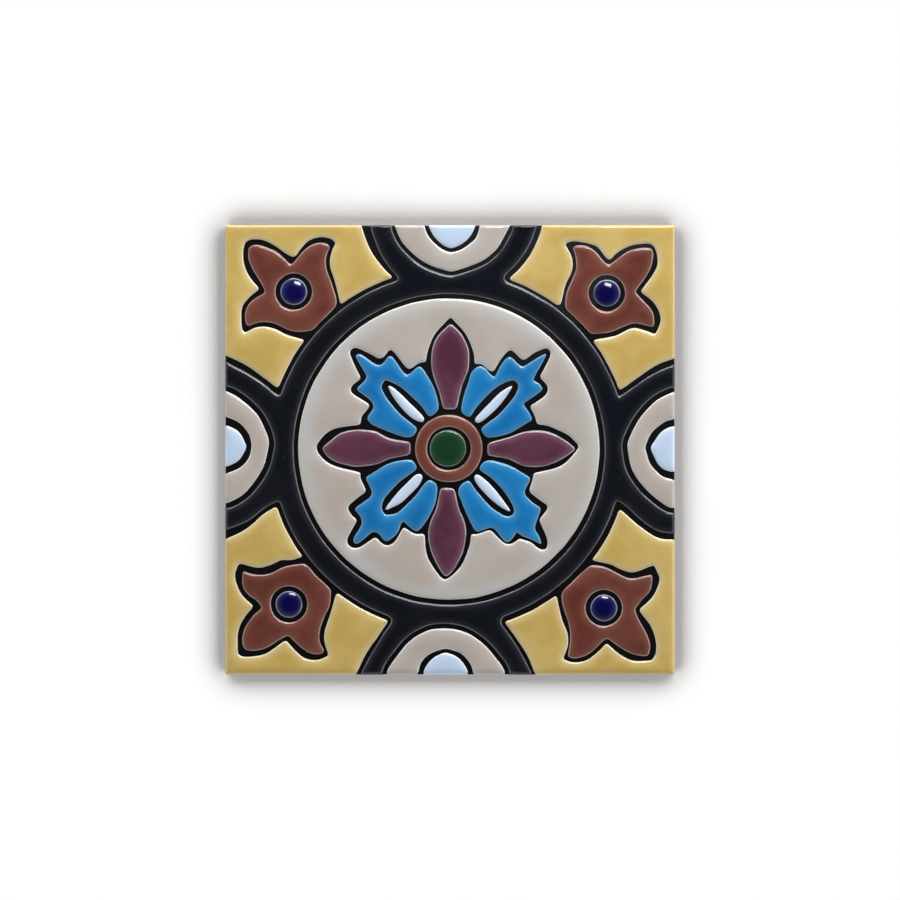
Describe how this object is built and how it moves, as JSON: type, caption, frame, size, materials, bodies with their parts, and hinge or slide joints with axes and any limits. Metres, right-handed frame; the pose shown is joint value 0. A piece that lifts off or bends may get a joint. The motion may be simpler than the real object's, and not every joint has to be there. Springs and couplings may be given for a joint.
{
  "type": "glazed ceramic tile",
  "caption": "Square ceramic wall tile with raised pools of coloured glaze between bare dark lines: a ring medallion with a flower, and a tulip in each corner.",
  "frame": {"origin": "middle of the flat back of the tile", "axes": "+Z out of the glazed face, +X to the right of the pattern, +Y to its top"},
  "size_m": [0.15, 0.15, 0.0075],
  "materials": {
    "glazed_ceramic": "glossy hand-laid glaze in yellow, cream, brown, plum, blue and black, with matt dark lines between the colours and a bare fired back"
  },
  "bodies": {
    "root": {"glazed_tile": "glazed_ceramic"}
  },
  "joints": []
}
